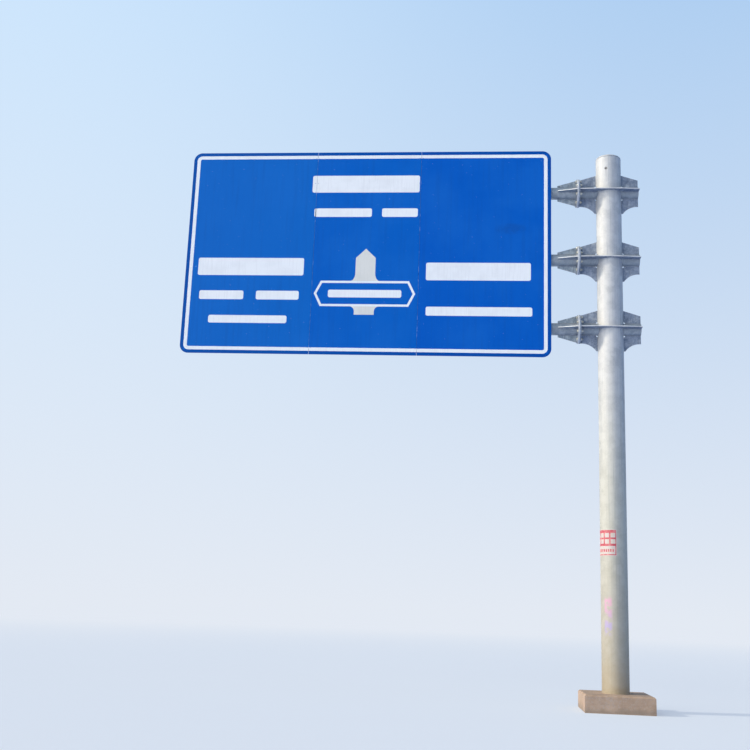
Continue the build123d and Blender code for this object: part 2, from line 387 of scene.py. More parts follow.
# hot-dip zinc on the steel: what all kinds share, and the values of each kind
zincShared = {
    "bloomSoftness": 0.10,
    "bloomAmount": 0.75,
    "greySize": 2.7,          # of the kind's own clouds
    "greyFrom": (0.5, 0.16),
    "runFrom": (0.60, 0.10),
    "coarseGrain": 20.0,      # waves in a metre
    "fineGrain": 250.0,
    "fineShare": 0.25,
    "edgeShare": 0.05,
    "relief": 0.0012,
}
zincKinds = {
    "post": {
        "light": (0.60, 0.595, 0.58), "dark": (0.445, 0.45, 0.45), "bloom": (0.65, 0.645, 0.625),
        "run": (0.33, 0.36, 0.385), "dust": (0.388, 0.318, 0.216), "crystal": 0.016, "contrast": 0.35,
        "cloud": 0.16, "bloomFrom": 0.52, "runSize": (0.022, 0.9), "runAmount": 0.48,
        "dustAmount": 0.25, "metal": (0.08, 0.04), "rough": (0.50, 0.66),
    },
    "arm": {
        "light": (0.37, 0.41, 0.44), "dark": (0.25, 0.285, 0.325), "bloom": (0.47, 0.495, 0.505),
        "run": (0.20, 0.22, 0.25), "dust": (0.38, 0.35, 0.30), "crystal": 0.012, "contrast": 0.4,
        "cloud": 0.11, "bloomFrom": 0.56, "runSize": (0.018, 0.12), "runAmount": 0.4,
        "dustAmount": 0.45, "metal": (0.30, 0.15), "rough": (0.42, 0.60),
    },
    # the plates' tones are darker and bluer than the post's zinc, as painted shade
    "plate": {
        "light": (0.33, 0.375, 0.46), "dark": (0.125, 0.16, 0.225), "bloom": (0.46, 0.50, 0.545),
        "run": (0.12, 0.14, 0.18), "dust": (0.36, 0.34, 0.30), "crystal": 0.018, "contrast": 0.5,
        "cloud": 0.09, "bloomFrom": 0.58, "runSize": (0.020, 0.14), "runAmount": 0.5,
        "dustAmount": 0.5, "metal": (0.22, 0.10), "rough": (0.42, 0.60),
    },
    "fixing": {
        "light": (0.66, 0.64, 0.56), "dark": (0.46, 0.44, 0.38), "bloom": (0.74, 0.73, 0.68),
        "run": (0.34, 0.32, 0.29), "dust": (0.48, 0.44, 0.36), "crystal": 0.004, "contrast": 0.4,
        "cloud": 0.03, "bloomFrom": 0.55, "runSize": (0.006, 0.03), "runAmount": 0.4,
        "dustAmount": 0.35, "metal": (0.55, 0.4), "rough": (0.34, 0.55),
    },
    "weld": {
        "light": (0.38, 0.40, 0.44), "dark": (0.19, 0.21, 0.25), "bloom": (0.49, 0.51, 0.53),
        "run": (0.18, 0.19, 0.21), "dust": (0.34, 0.31, 0.27), "crystal": 0.003, "contrast": 0.5,
        "cloud": 0.04, "bloomFrom": 0.58, "runSize": (0.006, 0.02), "runAmount": 0.3,
        "dustAmount": 0.4, "metal": (0.30, 0.15), "rough": (0.46, 0.66),
    },
}
# the ribs' tones, like the plates', are darker and bluer as painted shade
zincKinds["rib"] = {
    **zincKinds["plate"], "light": (0.36, 0.42, 0.475), "dark": (0.15, 0.19, 0.235),
    "bloom": (0.48, 0.53, 0.555), "run": (0.13, 0.15, 0.18), "contrast": 0.3, "cloud": 0.06,
    "bloomFrom": 0.56,
}
zincKinds["bolt"] = {
    **zincKinds["fixing"], "light": (0.80, 0.77, 0.65), "dark": (0.45, 0.42, 0.34),
    "bloom": (0.82, 0.80, 0.72), "run": (0.34, 0.30, 0.24),
}

# a yellow tint on the lower post, a low layer of road dust and painted warm ground bounce, two faint
# coloured smudges, and a painted dark ring round its vent hole with a darker trail below that, in metres
# and degrees
postMarks = {
    "lowerTint": (0.56, 0.52, 0.22),
    "lowerTintAmount": 0.22,
    "lowerTintHeights": (2.5, 5.8),    # full below the first, gone above the second
    # the low layer is road dust together with painted warm light bounced up from the ground, darker towards
    # the bottom
    "dustAmount": 1.28,       # at the ground
    "dustAndBounceLeft": 0.516,        # the share of it that is left a metre higher
    "dustAndBounceEven": 0.72,         # the share of it that lies evenly, the rest in patches
    "dustAndBounceCloud": (0.3, 0.45, 0.2),
    "ventAngle": -108.0,
    "ventDrop": 0.215,
    "ventRing": (0.014, 0.034),
    "ventTrail": 0.20,
    "ventTrailHalf": 4.0,
    "ventTrailShare": 1 / 3,
    "ventAmount": 0.75,
    "ventDark": (0.17, 0.165, 0.16),
    "smudgeAngles": (-143.0, -109.0, 5.0),     # from, to, and how soft its ends are
    "smudgeHeights": (1.09, 1.62, 0.04),
    "smudgeTurn": (1.19, 1.52),                # where its lower colour turns into the upper one
    "smudgeCloud": (0.09, 0.47, 0.08),
    "smudgeUpper": (0.72, 0.34, 0.50),
    "smudgeLower": (0.42, 0.34, 0.62),
    "smudgeAmount": 0.7,
}


def ventDarkening(marks, place, turn, height):
    # painted shade of the vent hole: dark at its rim, gone a little further out, and a fainter darker trail
    # straight down
    middle, half, amount = marks["ventAngle"], marks["ventTrailHalf"], marks["ventAmount"]
    angle = math.radians(middle)
    level = postTop - marks["ventDrop"]
    hole = (postRadius * math.cos(angle), postRadius * math.sin(angle), level)
    ring = spread(vectorNode("DISTANCE", place, hole, "Value"), *marks["ventRing"], amount, 0.0)
    across = window(turn, middle - half, middle + half, half / 2)
    down = spread(height, level - marks["ventTrail"], level, 0.0, amount * marks["ventTrailShare"])
    return mathNode("MAXIMUM", ring, times(across, down, mathNode("LESS_THAN", height, level)))


def markPost(marks, place, colour, dust):
    # the yellow tint thins out between two heights; the layer of dust and painted ground bounce falls off
    # by the same share each metre up; smudges lie in a window of angle and height, broken by noise
    height = axisOf(place, "Z")
    thin = spread(height, *marks["lowerTintHeights"], marks["lowerTintAmount"], 0.0)
    colour = blend(thin, colour, marks["lowerTint"])
    least = marks["dustAmount"] * marks["dustAndBounceEven"]
    patch = cloudMask(place, *marks["dustAndBounceCloud"])
    thick = mathNode("MULTIPLY_ADD", patch, marks["dustAmount"] - least, least)
    colour = layer(colour, mathNode("POWER", marks["dustAndBounceLeft"], height), thick, dust)
    turn = mathNode("DEGREES", mathNode("ARCTAN2", axisOf(place, "Y"), axisOf(place, "X")))
    colour = blend(ventDarkening(marks, place, turn, height), colour, marks["ventDark"])
    inside = times(window(turn, *marks["smudgeAngles"]), window(height, *marks["smudgeHeights"]))
    broken = times(inside, cloudMask(place, *marks["smudgeCloud"]))
    tint = blend(spread(height, *marks["smudgeTurn"]), marks["smudgeLower"], marks["smudgeUpper"])
    return layer(colour, broken, marks["smudgeAmount"], tint)


# painted highlight on the plates' edges: they are painted lighter than the flat faces
edgeHighlight = {
    "colour": (0.80, 0.78, 0.74), "amount": 0.85, "turn": (0.97, 0.985), "patches": 9.0,
    "patchEdge": (0.3, 0.65), "least": 0.6,
}


def paintEdgeHighlights(values, place, colour, faceAxes):
    # a cut edge looks away from the axes that the plates' flat faces look along, and takes the painted
    # highlight in patches
    straight = 0.0
    for axis in faceAxes:
        straight = mathNode("MAXIMUM", mathNode("ABSOLUTE", facing(place, axis)), straight)
    patch = spread(noise(scaled(place, values["patches"])), *values["patchEdge"], values["least"], 1.0)
    edge = times(spread(straight, *values["turn"], values["amount"], 0.0), patch)
    return blend(edge, colour, values["colour"])


def zincLooks(place, kind, faceAxes):
    # tones of crystals and grey clouds, then pale bloom, dark rain runs, and dust on what looks up
    values = {**zincShared, **zincKinds[kind]}
    crystal = useGroup(crystals, Vector=place, Size=values["crystal"])
    bloom = cloudMask(place, values["cloud"], values["bloomFrom"], values["bloomSoftness"])
    grey = cloudMask(place, values["cloud"] * values["greySize"], *values["greyFrom"])
    runs = runMask(place, *values["runSize"], *values["runFrom"])
    dust = useGroup(settledDust, Vector=place, Size=values["cloud"])["Mask"]
    share = values["contrast"]
    tone = mathNode("MULTIPLY_ADD", crystal["Tone"], share, times(grey, 1 - share))
    colour = blend(tone, values["light"], values["dark"])
    for mask, name in ((bloom, "bloom"), (runs, "run"), (dust, "dust")):
        colour = layer(colour, mask, values[name + "Amount"], values[name])
    # painted highlight along the plates' edges
    if faceAxes:
        colour = paintEdgeHighlights(edgeHighlight, place, colour, faceAxes)
    if kind == "post":
        colour = markPost(postMarks, place, colour, values["dust"])
    low, high = values["rough"]
    dull = mathNode("MULTIPLY_ADD", bloom, (high - low) / 2, low)
    dull = mathNode("MULTIPLY_ADD", crystal["Tone"], (high - low) / 2, dull)
    fine = times(noise(scaled(place, values["fineGrain"]), detail=3.0), values["fineShare"])
    grain = plus(noise(scaled(place, values["coarseGrain"]), detail=2.0), fine)
    height = mathNode("MULTIPLY_ADD", crystal["Edge"], values["edgeShare"], grain)
    looks = {"Base Color": colour, "Metallic": between(bloom, values["metal"]), "Roughness": dull}
    return looks, height, values["relief"]


# each finish of zinc, by its kind and the axes that flat faces look along
zincUses = [("post", ""), ("arm", ""), ("plate", ""), ("plate", "X"), ("plate", "Y"), ("plate", "Z"),
            ("rib", "YZ"), ("bolt", ""), ("fixing", ""), ("weld", "")]
zinc = {kind + axes: makeMaterial(f"zinc_{kind}_{axes.lower()}".rstrip("_"), zincLooks, kind, axes)
        for kind, axes in zincUses}
print("zinc finishes made")

# drawn aluminium: the rails, the seam strips and the backs of the sheets
aluminiumValues = {
    "light": (0.62, 0.62, 0.61), "dark": (0.50, 0.505, 0.505), "lines": (0.0016, 0.8, 0.5, 0.25),
    "oxide": (0.66, 0.66, 0.655), "oxideCloud": (0.35, 0.53, 0.12), "oxideAmount": 0.7,
    "stain": (0.42, 0.40, 0.37), "stainRuns": (0.03, 0.7, 0.62, 0.07), "stainAmount": 0.35,
    "metal": (0.42, 0.34), "rough": (0.38, 0.50), "relief": 0.0001,
    # the seam strips' painted shade in the gaps, and the paler spots in it
    "seamDirt": (0.015, 0.07, 0.22), "seamClean": (0.37, 0.52, 0.68), "seamSpots": (0.2, 0.08, 0.58, 0.06),
}


def drawnMetal(given):
    # fine drawn lines up and down, clouds of dull oxide and a few dark water runs
    values, place = aluminiumValues, given["Vector"]
    lines = runMask(place, *values["lines"])
    oxide = cloudMask(place, *values["oxideCloud"])
    colour = blend(lines, values["light"], values["dark"])
    colour = layer(colour, oxide, values["oxideAmount"], values["oxide"])
    colour = layer(colour, runMask(place, *values["stainRuns"]), values["stainAmount"], values["stain"])
    return {"Colour": colour, "Metallic": between(oxide, values["metal"]),
            "Roughness": between(oxide, values["rough"]), "Lines": lines}


drawnAluminium = makeGroup("drawn aluminium", {"Vector": None}, drawnMetal)


def looksForward(place):
    # 1 on what looks at the road, else 0
    return mathNode("LESS_THAN", facing(place, "Y"), -0.5)


def aluminiumLooks(place, isStrip, values):
    # on the seam strips, the side that shows in the gaps is painted dark as the shade in the gaps, with
    # paler spots up and down
    bare = useGroup(drawnAluminium, Vector=place)
    colour, metal = bare["Colour"], bare["Metallic"]
    if isStrip:
        front = looksForward(place)
        shown = blend(runMask(place, *values["seamSpots"]), values["seamDirt"], values["seamClean"])
        colour = blend(front, colour, shown)
        metal = times(metal, without(front))
    looks = {"Base Color": colour, "Metallic": metal, "Roughness": bare["Roughness"]}
    return looks, bare["Lines"], values["relief"]


# reflective film on the board; each sheet's blue is a little different
filmValues = {
    "blue": {"left": (0.003, 0.138, 0.524), "centre": (0.0, 0.119, 0.518), "right": (0.0, 0.106, 0.510)},
    "white": (0.94, 0.945, 0.93),
    "whiteGrime": (0.79, 0.79, 0.78),
    "pale": (0.81, 0.79, 0.72),
    "paleGrime": (0.69, 0.68, 0.62),
    "fadeTint": (0.010, 0.160, 0.570),
    "fadeCloud": (1.1, 0.52, 0.14),
    "fadeAmount": 0.35,
    "grime": (0.008, 0.055, 0.240),
    "grimeRuns": (0.05, 1.1, 0.58, 0.12),
    "grimeAmount": 0.12,
    "fleckCloud": (0.035, 0.71, 0.03),
    "fleckAmount": 0.25,
    "rim": (0.001, 0.054, 0.275),
    "rimWidth": 0.058,
    "rimSoft": 0.012,
    "rimAmount": 0.65,
    "stainPlace": (-1.59, 7.44),
    "stainSize": (0.26, 0.10),
    "stainEdge": (0.2, 1.3),    # squared ways out, in the stain's own sizes
    "stainCloud": (0.12, 0.45, 0.12),
    "stainAmount": 0.30,
    "plainCloud": (0.25, 0.55, 0.12),
    "plainRuns": (0.02, 0.35, 0.58, 0.1),
    "plainAmount": 0.3,
    "cell": 0.0045,           # one cell of the film's honeycomb
    "cellOnBlue": 0.18,
    "cellOnPlain": 0.2,
    "relief": 0.00006,
    "rough": (0.38, 0.50),
    "gloss": 0.06,
}


def stainMask(values, place):
    # a smear with ragged ends: the inside of an ellipse, thinned by clouds
    out = 0.0
    for axis, middle, size in zip("XZ", values["stainPlace"], values["stainSize"]):
        away = mathNode("DIVIDE", mathNode("SUBTRACT", axisOf(place, axis), middle), size)
        out = plus(mathNode("POWER", away, 2.0), out)
    inside = spread(out, *values["stainEdge"], values["stainAmount"], 0.0)
    return times(inside, cloudMask(place, *values["stainCloud"]))


def sheetLooks(place, sheetName, values):
    # blue film where the sheet looks at the road, and bare aluminium on its edges and back
    front = looksForward(place)
    cells = useGroup(honeycomb, Vector=place, Size=values["cell"])["Line"]
    fade = cloudMask(place, *values["fadeCloud"])
    runs = runMask(place, *values["grimeRuns"])
    flecks = cloudMask(place, *values["fleckCloud"])
    blue = layer(values["blue"][sheetName], fade, values["fadeAmount"], values["fadeTint"])
    blue = layer(blue, runs, values["grimeAmount"], values["grime"])
    blue = layer(blue, flecks, values["fleckAmount"], values["white"])
    blue = blend(stainMask(values, place), blue, values["grime"])
    blue = layer(blue, cells, values["cellOnBlue"], values["fadeTint"])
    wide, soft = values["rimWidth"], values["rimSoft"]
    inside = times(window(axisOf(place, "X"), boardLeft + wide, boardRight - wide, soft),
                   window(axisOf(place, "Z"), boardBottom + wide, boardTop - wide, soft))
    rim = mathNode("MULTIPLY_ADD", inside, -values["rimAmount"], values["rimAmount"])
    blue = blend(rim, blue, values["rim"])
    bare = useGroup(drawnAluminium, Vector=place)
    dull = plus(times(between(fade, values["rough"]), front), times(bare["Roughness"], without(front)))
    looks = {"Base Color": blend(front, bare["Colour"], blue), "Roughness": dull,
             "Metallic": times(bare["Metallic"], without(front)), "Specular IOR Level": values["gloss"]}
    return looks, plus(times(cells, front), bare["Lines"]), values["relief"]


def plainFilmLooks(place, tone, values):
    # white or pale film: the same honeycomb, with faint clouds and runs of grime
    cells = useGroup(honeycomb, Vector=place, Size=values["cell"])["Line"]
    cloud = cloudMask(place, *values["plainCloud"])
    runs = runMask(place, *values["plainRuns"])
    amount = values["plainAmount"]
    colour = values[tone]
    for mask, share in ((cloud, amount), (runs, amount), (cells, values["cellOnPlain"])):
        colour = layer(colour, mask, share, values[tone + "Grime"])
    looks = {"Base Color": colour, "Roughness": between(cloud, values["rough"]),
             "Specular IOR Level": values["gloss"]}
    return looks, cells, values["relief"]


# cast concrete at the foot
concreteValues = {
    "light": (0.56, 0.395, 0.275), "dark": (0.42, 0.285, 0.19), "cloud": (0.22, 0.5, 0.2),
    "stone": (0.50, 0.40, 0.32), "stoneSize": 0.018, "stoneTones": (0.72, 0.80), "stoneAmount": 0.5,
    "stainCloud": (0.5, 0.52, 0.08), "stainAmount": 0.3,
    "wet": (0.25, 0.185, 0.13), "wetHeight": 0.07, "wetWave": 0.05, "wetAmount": 0.55,
    "pore": 0.012, "poreRim": (0.10, 0.26), "poreCloud": (0.05, 0.52, 0.05), "poreAmount": 0.7,
    "board": 0.125, "seamRim": (0.475, 0.5),    # of a board's width, from its middle
    "rough": (0.92, 0.70), "grain": 160.0, "grainShare": 0.6, "waves": 14.0,
    "poreDepth": 1.2, "seamRise": 0.5, "relief": 0.004,
}


def concreteLooks(place, values):
    # cloudy grey-brown paste, stones and pores in it, marks of the form's boards, and a damp foot
    cloud = cloudMask(place, *values["cloud"])
    stain = cloudMask(place, *values["stainCloud"])
    tone = useGroup(crystals, Vector=place, Size=values["stoneSize"])["Tone"]
    stones = spread(tone, *values["stoneTones"])
    cell = {"Vector": scaled(place, 1 / values["pore"]), "Scale": 1.0}
    pores = spread(addNode("ShaderNodeTexVoronoi", cell).outputs["Distance"], *values["poreRim"], 1.0, 0.0)
    pores = times(pores, cloudMask(place, *values["poreCloud"]))
    height = axisOf(place, "Z")
    way = mathNode("SUBTRACT", mathNode("FRACT", mathNode("DIVIDE", height, values["board"])), 0.5)
    seam = spread(mathNode("ABSOLUTE", way), *values["seamRim"])
    damp = mathNode("MULTIPLY_ADD", cloud, -values["wetWave"], height)
    damp = spread(damp, 0.0, values["wetHeight"], 1.0, 0.0)
    colour = blend(cloud, values["light"], values["dark"])
    colour = layer(colour, stones, values["stoneAmount"], values["stone"])
    colour = layer(colour, stain, values["stainAmount"], values["dark"])
    colour = layer(colour, pores, values["poreAmount"], values["wet"])
    colour = layer(colour, damp, values["wetAmount"], values["wet"])
    grain = times(noise(scaled(place, values["grain"]), detail=5.0), values["grainShare"])
    relief = plus(grain, noise(scaled(place, values["waves"])))
    relief = mathNode("SUBTRACT", relief, times(pores, values["poreDepth"]))
    relief = plus(relief, times(seam, values["seamRise"]))
    return {"Base Color": colour, "Roughness": between(damp, values["rough"])}, relief, values["relief"]


# the small notice pasted on the post: weathered print
printValues = {
    "paper": (0.63, 0.535, 0.49), "paperFaded": (0.62, 0.55, 0.40),
    "red": (0.53, 0.07, 0.09), "redFaded": (0.78, 0.34, 0.32),
    "cloud": (0.06, 0.54, 0.14), "amount": 0.6, "rough": (0.45, 0.65), "grain": 600.0, "relief": 0.0001,
}


def printLooks(place, ink, values):
    # one ink on paper, bleached in clouds
    bleach = cloudMask(place, *values["cloud"])
    colour = layer(values[ink], bleach, values["amount"], values[ink + "Faded"])
    looks = {"Base Color": colour, "Roughness": between(bleach, values["rough"])}
    return looks, noise(scaled(place, values["grain"]), detail=2.0), values["relief"]


aluminium = makeMaterial("drawn_aluminium", aluminiumLooks, False, aluminiumValues)
stripMetal = makeMaterial("seam_aluminium", aluminiumLooks, True, aluminiumValues)
sheetFilm = {name: makeMaterial(f"sheet_{name}", sheetLooks, name, filmValues) for name in sheetNames}
plainFilm = {tone: makeMaterial(f"{tone}_film", plainFilmLooks, tone, filmValues)
             for tone in ("white", "pale")}
concrete = makeMaterial("cast_concrete", concreteLooks, concreteValues)
notice = {ink: makeMaterial(f"notice_{ink}", printLooks, ink, printValues) for ink in ("paper", "red")}
print("film, aluminium, concrete and print made")

# the frame's parts take their finishes


def finishParts():
    # each part takes the finish of the longest start that its name has
    finishes = {"post": zinc["post"], "base_flange": zinc["plate"], "stub_flanges": zinc["plate"],
                "arm": zinc["arm"], "arm_flanges": zinc["plateX"], "arm_ribs": zinc["ribYZ"],
                "wing_plates": zinc["plateZ"], "gussets": zinc["plateY"], "clamp": zinc["fixing"],
                "board_rails": aluminium, "board_seam_strips": stripMetal, "concrete_plinth": concrete}
    for name in sheetNames:
        finishes[f"board_sheet_{name}"] = sheetFilm[name]
    for name, part in nodes.items():
        start = max((start for start in finishes if name.startswith(start)), key=len)
        for place in part.material_slots:
            place.material = finishes[start]


finishParts()
print("parts finished")

# shapes: points in an array, and lists of faces that all have the same number of corners


def fullCircle(count):
    return np.arange(count) * 2 * np.pi / count


def around(angle, axis):
    # unit vectors square to an axis, one for each angle about it
    return np.insert(np.stack([np.cos(angle), np.sin(angle)], 1), "xyz".index(axis), 0.0, axis=1)


def skin(grid, closed=False):
    # a skin over rows of points: each row is a ring, and the end rows are filled unless they meet
    rows, columns = grid.shape[:2]
    ring = np.arange(columns)
    row, column = np.meshgrid(np.arange(rows if closed else rows - 1), ring, indexing="ij")
    nextRow, nextColumn = (row + 1) % rows, (column + 1) % columns
    corners = [row * columns + column, row * columns + nextColumn,
               nextRow * columns + nextColumn, nextRow * columns + column]
    faces = [np.stack(corners, -1).reshape(-1, 4)]
    if not closed:
        faces.append(np.stack([ring[::-1], (rows - 1) * columns + ring]))
    return grid.reshape(-1, 3), faces


def together(shapes):
    # stacks shapes: each one's face numbers are shifted by the points before it
    points, faces, before = [], [], 0
    for shapePoints, shapeFaces in shapes:
        points.append(shapePoints)
        faces += [some + before for some in shapeFaces]
        before += len(shapePoints)
    return np.concatenate(points), faces


def copies(shape, placings):
    # one copy of a shape by each 4 x 4 placing, all worked out as one array
    points, faces = shape
    placed = np.einsum("kij,nj->kni", placings[:, :3, :3], points) + placings[:, None, :3, 3]
    shift = np.arange(len(placings))[:, None, None] * len(points)
    return placed.reshape(-1, 3), [(some[None] + shift).reshape(-1, some.shape[1]) for some in faces]


def placingsAt(places, towards, spins=None):
    # each placing carries Z onto the direction, spun about it, and the origin to a place
    axis = np.array(towards, float) / np.linalg.norm(towards)
    side = np.cross(axis, (0.0, 0.0, 1.0))
    side /= np.linalg.norm(side)
    other = np.cross(axis, side)
    spins = np.zeros((len(places), 1)) if spins is None else spins[:, None]
    placings = np.zeros((len(places), 4, 4))
    placings[:, :3, 0] = np.cos(spins) * side + np.sin(spins) * other
    placings[:, :3, 1] = -np.sin(spins) * side + np.cos(spins) * other
    placings[:, :3, 2] = axis
    placings[:, :3, 3] = places
    placings[:, 3, 3] = 1.0
    return placings


def turned(rows, sides, flat=math.inf):
    # rings about Z, each a radius and a height; flats that near the axis cut them to a hexagon
    radius, height = np.array(rows, float).T[:, :, None]
    angle = fullCircle(sides)
    hexagon = flat / np.cos((angle + np.pi / 6) % (np.pi / 3) - np.pi / 6)
    radius = np.minimum(radius, hexagon)
    return skin(np.stack([radius * np.cos(angle), radius * np.sin(angle), height + 0 * radius], -1))


def swept(line, first, second, section, closed=False):
    # a section carried along a line: each of its points is a times the first side plus b times the second
    sides = [np.broadcast_to(np.array(side, float), line.shape)[:, None] for side in (first, second)]
    a, b = np.moveaxis(np.broadcast_to(section, (len(line), *np.shape(section)[-2:])), -1, 0)[..., None]
    return skin(line[:, None] + a * sides[0] + b * sides[1], closed)


def addPiece(name, shape, material, sharp=35.0):
    # puts a shape into a mesh whose faces look outwards, smooth up to the sharp angle
    points, faces = shape
    mesh = bpy.data.meshes.new(name)
    mesh.from_pydata(points.tolist(), [], [face for some in faces for face in some.tolist()])
    work = bmesh.new()
    work.from_mesh(mesh)
    bmesh.ops.recalc_face_normals(work, faces=work.faces)
    work.to_mesh(mesh)
    work.free()
    mesh.polygons.foreach_set("use_smooth", np.ones(len(mesh.polygons), bool))
    mesh.set_sharp_from_angle(angle=math.radians(sharp))
    mesh.materials.append(material)
    piece = addObject(name, mesh)
    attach(piece, "root")
    return piece


# the cap on the post's head, in metres
capValues = {"shoulder": 0.036, "crown": 0.005, "wall": 0.008, "edge": 0.002, "tip": 0.004, "steps": 12,
             "sides": 128}


def addCap(values):
    # a quarter circle turns the wall into the crown, which rises with the square of the way in
    height = capTop - postTop
    reach, wall, edge = values["shoulder"], values["wall"], values["edge"]
    level = height - values["crown"] - reach
    turn = np.linspace(0, np.pi / 2, values["steps"])
    shoulder = np.stack([postRadius - reach + reach * np.cos(turn), level + reach * np.sin(turn)], 1)
    inwards = np.linspace(postRadius - reach, values["tip"], values["steps"])[1:]
    rise = values["crown"] * (1 - (inwards / (postRadius - reach)) ** 2)
    crown = np.stack([inwards, height - values["crown"] + rise], 1)
    outer = np.concatenate([[(postRadius - edge, 0.0), (postRadius, edge)], shoulder, crown])
    inner = outer[2:] - (0.0, wall)
    inner[:, 0] = np.minimum(inner[:, 0], postRadius - wall)
    rows = np.concatenate([inner[::-1], [(postRadius - wall, 0.0)], outer]) + (0.0, postTop)
    cap = addPiece("post_cap_rounded", turned(rows, values["sides"]), zinc["post"])
    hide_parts("post_cap")


addCap(capValues)
print("cap made")

# clamps: the straps behind the arms, and the bolts through their ears into the rails, in metres
clampValues = {
    "width": 0.050, "thickness": 0.005, "earTop": 0.147, "bend": 0.0075, "edge": 0.0014,
    "arcSteps": 36, "bendSteps": 7, "boltShift": 0.001, "shankLength": 0.014,
    "shankSink": 0.001,       # how far the shank reaches into its nut
    "railGap": 0.2,           # points further apart than this belong to different rails
}
clampBoltValues = {
    "radius": 0.006, "flat": 0.009, "nutHeight": 0.010, "washerRadius": 0.012, "washerHeight": 0.0025,
    "threadPitch": 0.00175, "threadLength": 0.008, "sides": 12,
}


def railPlaces(gap):
    # the middle of each rail, found from the groups of points in the rails' nodes
    places = []
    for name in sheetNames:
        rail = nodes[f"board_rails_{name}"].data
        points = np.zeros(len(rail.vertices) * 3)
        rail.vertices.foreach_get("co", points)
        x = np.sort(points.reshape(-1, 3)[:, 0])
        groups = np.split(x, np.flatnonzero(np.diff(x) > gap) + 1)
        places += [float(group[0] + group[-1]) / 2 for group in groups]
    return places


rails = railPlaces(clampValues["railGap"])


def strapLine(values):
    # down an ear, round its bend, along the arm's side, half way round its back, and back the same way
    middle = armRadius + values["thickness"] / 2
    earPlace = -armRadius + values["thickness"] / 2
    bend = values["bend"]
    turn = np.linspace(np.pi, 1.5 * np.pi, values["bendSteps"])
    corner = np.stack([earPlace + bend + bend * np.cos(turn), middle + bend + bend * np.sin(turn)], 1)
    upper = np.concatenate([[(earPlace, values["earTop"])], corner])
    arc = np.linspace(np.pi / 2, -np.pi / 2, values["arcSteps"])
    back = middle * np.stack([np.cos(arc), np.sin(arc)], 1)
    return np.concatenate([upper, back, upper[::-1] * (1, -1)])


def roundedSection(halfA, halfB, edge):
    # a rectangle with its corners cut twice, so that its edges catch the light
    cut = edge * (1 - math.sqrt(0.5))
    corner = np.array([(halfA, halfB - edge), (halfA - cut, halfB - cut), (halfA - edge, halfB)])
    flipped = corner[::-1]
    return np.concatenate([corner, flipped * (-1, 1), corner * (-1, -1), flipped * (1, -1)])


def sidesOf(line):
    # unit vectors square to a flat line, each from the mean of the two stretches beside its point
    step = np.diff(line, axis=0)
    step /= np.linalg.norm(step, axis=1)[:, None]
    along = np.concatenate([step[:1], step[:-1] + step[1:], step[-1:]])
    along /= np.linalg.norm(along, axis=1)[:, None]
    return np.stack([-along[:, 1], along[:, 0]], 1)


def addStraps(values):
    # a rounded section carried along the strap's line, and one copy of it at each rail
    flat = strapLine(values)
    line, outwards = (np.insert(pairs, 0, 0.0, axis=1) for pairs in (flat, sidesOf(flat)))
    section = roundedSection(values["thickness"] / 2, values["width"] / 2, values["edge"])
    strap = swept(line, outwards, (1, 0, 0), section)
    for name, level in levels.items():
        placings = np.tile(np.eye(4), (len(rails), 1, 1))
        placings[:, 0, 3] = rails
        placings[:, 2, 3] = level
        shape = copies(strap, placings)
        straps = addPiece(f"clamp_straps_{name}", shape, zinc["fixing"])
        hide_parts(f"clamp_hoops_{name}")


# the common form of washers, nuts, heads and threads, as shares of their sizes, and two depths
fastenerForm = {
    "washerEdge": 0.97, "washerBevel": 0.2, "chamfer": 0.6, "nutFoot": 0.97, "top": 0.95, "mouth": 1.15,
    "headDish": 0.8, "ridge": 0.9, "tip": 0.78, "mouthDepth": 0.001, "dishDepth": 0.0004,
}


def washerRows(values, form):
    radius, height, bevel = values["washerRadius"], values["washerHeight"], form["washerBevel"]
    return [(radius * form["washerEdge"], 0), (radius, height * bevel), (radius, height * (1 - bevel)),
            (radius * form["washerEdge"], height)]


def hexagonLip(flat, form):
    # the radius of a hexagon's corners, and the height that their chamfer takes
    corner = flat / math.cos(math.pi / 6)
    return corner, (corner - flat) * form["chamfer"]


def threadRows(radius, pitch, start, end, form):
    # ridges of a thread as rings that go in and out, with a chamfer at the tip
    heights = np.arange(start, end - pitch, pitch / 2)
    depth = np.where(np.arange(len(heights)) % 2, radius * form["ridge"], radius)
    return [*zip(depth, heights), (radius * form["ridge"], end - pitch / 2), (radius * form["tip"], end)]


def nutShape(values, form):
    # a washer, a nut with chamfered corners, and the bolt's end standing out of it, all along Z
    radius, flat, foot, sides = values["radius"], values["flat"], values["washerHeight"], values["sides"]
    corner, lip = hexagonLip(flat, form)
    top, depth = foot + values["nutHeight"], form["mouthDepth"]
    nut = [(flat * form["nutFoot"], foot), (corner, foot + lip), (corner, top - lip),
           (flat * form["top"], top), (radius * form["mouth"], top), (radius, top - depth)]
    end = threadRows(radius, values["threadPitch"], top - 2 * depth, top + values["threadLength"], form)
    return together([turned(washerRows(values, form), sides), turned(nut, sides, flat), turned(end, sides)])


def headShape(values, form):
    # a washer and a bolt's head with a chamfered top, along Z
    flat, foot, sides = values["flat"], values["washerHeight"], values["sides"]
    corner, lip = hexagonLip(flat, form)
    top = foot + values["headHeight"]
    head = [(corner, foot), (corner, top - lip), (flat * form["top"], top),
            (flat * form["headDish"], top - form["dishDepth"])]
    return together([turned(washerRows(values, form), sides), turned(head, sides, flat)])


chance = np.random.default_rng(20)


def spunCopies(shape, places, towards):
    # copies of a hexagonal thing, each spun by chance, up to one of its sides
    return copies(shape, placingsAt(places, towards, chance.uniform(0, math.pi / 3, len(places))))


